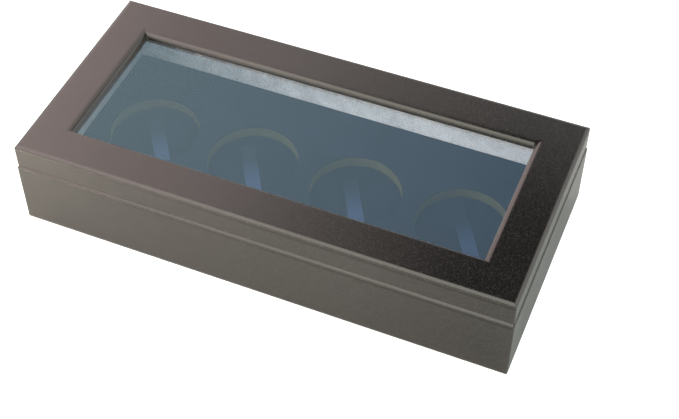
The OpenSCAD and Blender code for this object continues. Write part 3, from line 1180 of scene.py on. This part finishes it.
@dataclass(frozen=True)
class DarkCard(Finish):
    """A dark card over the right half that only shows in the lacquer, fading out at its edges."""

    low: Triple = (-0.075, -0.080, 0.15)
    high: Triple = (0.29, 0.265, 0.15)
    # Width of the fade at the left, right, front and rear edge
    fade: tuple[float, float, float, float] = (0.14, 0.10, 0.02, 0.18)
    share: float = 0.905
    hidden_from: tuple[str, ...] = ("camera", "diffuse", "transmission", "volume_scatter", "shadow")

    def wire(self, wiring: Wiring) -> None:
        """Clear at the edges and almost black in the middle, but clear to sharp mirrors.

        Args:
            wiring: The material's wiring.
        """
        x, y, _ = wiring.axes(wiring.place())
        left, right, front, rear = self.fade
        sharp = wiring.add("LightPath").outputs["Is Singular Ray"]
        edges = ((x, self.low[0], left), (x, self.high[0], -right), (y, self.low[1], front), (y, self.high[1], -rear))
        fades = (wiring.ramp(axis, (edge, edge + fade, 0.0, 1.0)) for axis, edge, fade in edges)
        cover = wiring.product(*fades, wiring.rest(sharp), self.share)
        clear, black = (
            wiring.add("BsdfTransparent", {"Color": colour}).outputs[0] for colour in (WHITE, BLACK)
        )
        wiring.output(wiring.either(cover, clear, black))

    def build(self) -> None:
        """Hangs the card over the box."""
        low, high = Vector(self.low), Vector(self.high)
        card = plain_mesh("plane", "studio_card", size=1.0, location=(low + high) / 2)
        card.scale = (high.x - low.x, high.y - low.y, 1.0)
        settle(card)
        put_on(self, card)
        for kind in self.hidden_from:
            setattr(card, f"visible_{kind}", False)


@dataclass(frozen=True)
class WhiteRoom:
    """White to the eye, a soft field for light, and a bright left rear for gloss.

    The ramps run over the parts of a ray's direction: x to the right, y to the rear, z up.
    """

    behind_x: tuple[Ramp, ...] = (
        (-0.475, -0.405, 1.95, 1.00), (-0.405, -0.25, 0.0, -0.20), (0.3, 0.7, 0.0, 0.25),
    )
    horizon_x: Ramp = (-0.42, -0.12, 1.5, 0.20)
    peak_x: Ramp = (-0.42, -0.12, 1.95, 1.45)
    peak_z: Ramp = (0.10, 0.42, 0.0, 1.0)
    ahead_y: Ramp = (0.0, -0.25, 0.0, 1.0)
    side_on_x: Ramp = (-0.85, -0.60, 0.45, 1.0)
    left_x: Ramp = (-0.45, -0.12, 1.0, 0.0)
    not_side_on_x: Ramp = (-0.85, -0.60, 0.0, 1.0)
    ahead_left_x: Ramp = (-0.45, -0.28, 1.0, 0.0)
    left_tone: Colour = (1.08, 0.91, 0.93)
    ahead_tone: Colour = (0.97, 1.01, 0.93)
    right_tone: Colour = (0.98, 1.0, 1.02)
    left_veil: Colour = (1.40, 1.96, 2.25)
    right_veil: Colour = (0.67, 1.02, 1.38)

    def build(self) -> None:
        """Makes the world."""
        world = bpy.data.worlds.new("studio_world")
        bpy.context.scene.world = world
        world.use_nodes = True
        wiring = Wiring(world.node_tree)
        x, y, z = wiring.axes(wiring.add("TexCoord").outputs["Generated"])
        behind = wiring.total(*(wiring.ramp(x, course) for course in self.behind_x))
        ahead = wiring.slide(wiring.ramp(z, self.peak_z), wiring.ramp(x, self.horizon_x), wiring.ramp(x, self.peak_x))
        turn = wiring.ramp(y, self.ahead_y)
        strength = wiring.product(wiring.slide(turn, behind, ahead), wiring.ramp(x, self.side_on_x))
        left = wiring.product(wiring.ramp(x, self.left_x), wiring.ramp(x, self.not_side_on_x))
        tone = wiring.blend(
            turn, wiring.blend(left, self.right_tone, self.left_tone),
            wiring.blend(wiring.ramp(x, self.ahead_left_x), self.ahead_tone, self.left_tone),
        )
        veil = wiring.blend(left, self.right_veil, self.left_veil)
        shine = wiring.add("Background", {"Color": tone, "Strength": strength}).outputs[0]
        in_glass = wiring.add("Background", {"Color": veil}).outputs[0]
        white = wiring.add("Background", {"Color": WHITE}).outputs[0]
        path = wiring.add("LightPath").outputs
        mirror = wiring.product(path["Is Glossy Ray"], path["Is Singular Ray"])
        wiring.output(wiring.either(wiring.seen(), wiring.either(mirror, shine, in_glass), white), "World")


@dataclass(frozen=True)
class Softbox:
    """One square area light that faces the box: where it stands, its side in metres, its watts and its colour."""

    name: str
    place: Triple
    size: float
    power: float
    colour: Colour

    def build(self) -> None:
        """Adds the light."""
        light = bpy.data.lights.new(self.name, "AREA")
        light.shape = "SQUARE"
        light.size = self.size
        light.energy = self.power
        light.color = self.colour
        thing = bpy.data.objects.new(self.name, light)
        bpy.context.scene.collection.objects.link(thing)
        thing.location = self.place
        thing.rotation_mode = "QUATERNION"
        thing.rotation_quaternion = (-Vector(self.place)).to_track_quat("-Z", "Y")
        thing.visible_glossy = thing.visible_camera = False


@dataclass(frozen=True)
class PhotoCamera:
    """The camera at the photograph's place."""

    image: tuple[int, int] = (679, 419)
    azimuth_deg: float = 24.34
    elevation_deg: float = 47.69
    roll_deg: float = -1.39
    distance: float = 615.45 * MM
    target: Triple = (3.38 * MM, -7.78 * MM, 24.0 * MM)
    focal_px: float = 1387.38
    centre_px: tuple[float, float] = (303.5, 187.0)
    sensor_mm: float = 36.0
    clip: tuple[float, float] = (0.01, 50.0)

    def build(self) -> None:
        """Adds the camera and makes it the scene's."""
        azimuth, elevation, roll = (math.radians(a) for a in (self.azimuth_deg, self.elevation_deg, self.roll_deg))
        back = Vector((
            math.sin(azimuth) * math.cos(elevation), -math.cos(azimuth) * math.cos(elevation), math.sin(elevation)
        ))
        right = Vector((math.cos(azimuth), math.sin(azimuth), 0.0))
        up = back.cross(right)
        turned = right * math.cos(roll) + up * math.sin(roll)
        upright = up * math.cos(roll) - right * math.sin(roll)
        across, down = self.image
        data = bpy.data.cameras.new("photo_camera")
        data.sensor_width = self.sensor_mm
        data.lens = self.focal_px * self.sensor_mm / across
        data.shift_x = (across / 2 - self.centre_px[0]) / across
        data.shift_y = (self.centre_px[1] - down / 2) / across
        data.clip_start, data.clip_end = self.clip
        camera = bpy.data.objects.new("photo_camera", data)
        bpy.context.scene.collection.objects.link(camera)
        turn = Matrix((turned, upright, back)).transposed().to_4x4()
        camera.matrix_world = Matrix.Translation(Vector(self.target) + back * self.distance) @ turn
        bpy.context.scene.camera = camera


@dataclass
class Studio:
    """White floor, soft light and the camera."""

    floor_size: float = 12.0
    floor_height: float = -0.05 * MM
    lamps: tuple[Softbox, ...] = (
        Softbox("window_left", (-0.95, -0.50, 0.245), 0.60, 21.5, (1.0, 0.95, 0.90)),
        Softbox("low_left", (-0.22, -0.19, 0.06), 0.05, 0.75, (1.0, 0.91, 0.80)),
        Softbox("fill_right", (0.45, 0.90, 0.60), 0.40, 5.1, (0.93, 1.03, 0.95)),
        Softbox("front_left", (-0.40, -0.85, 0.42), 0.35, 2.8, (1.0, 0.98, 0.95)),
    )

    def build_floor(self) -> None:
        """The floor under the box."""
        floor = plain_mesh("plane", "studio_floor", size=self.floor_size, location=(0, 0, self.floor_height))
        put_on(FloorPaint("studio_white"), floor)

    def build(self) -> None:
        """Camera, floor, world, card, lights and view settings."""
        PhotoCamera().build()
        self.build_floor()
        WhiteRoom().build()
        DarkCard("studio_dark").build()
        for lamp in self.lamps:
            lamp.build()
        bpy.context.scene.view_settings.view_transform = "Standard"


def main() -> None:
    """Builds the studio and dresses the box, piece by piece."""
    logging.basicConfig(level=logging.INFO, format="%(name)s: %(message)s")
    Studio().build()
    log.info("studio and camera are in place")
    case = Casework()
    case.dress()
    case.build_felt()
    log.info("case and lid frame are dressed")
    Hinges().dress()
    log.info("hinges are dressed")
    Lining().build()
    tray, ribbons = CoinTray(), LiftRibbons()
    tray.build_top()
    tray.build_floor(ribbons)
    tray.build_foam()
    ribbons.build(tray.centres())
    log.info("lining, tray and ribbons are in place")
    nothing_selected()


if __name__ == "__main__":
    main()
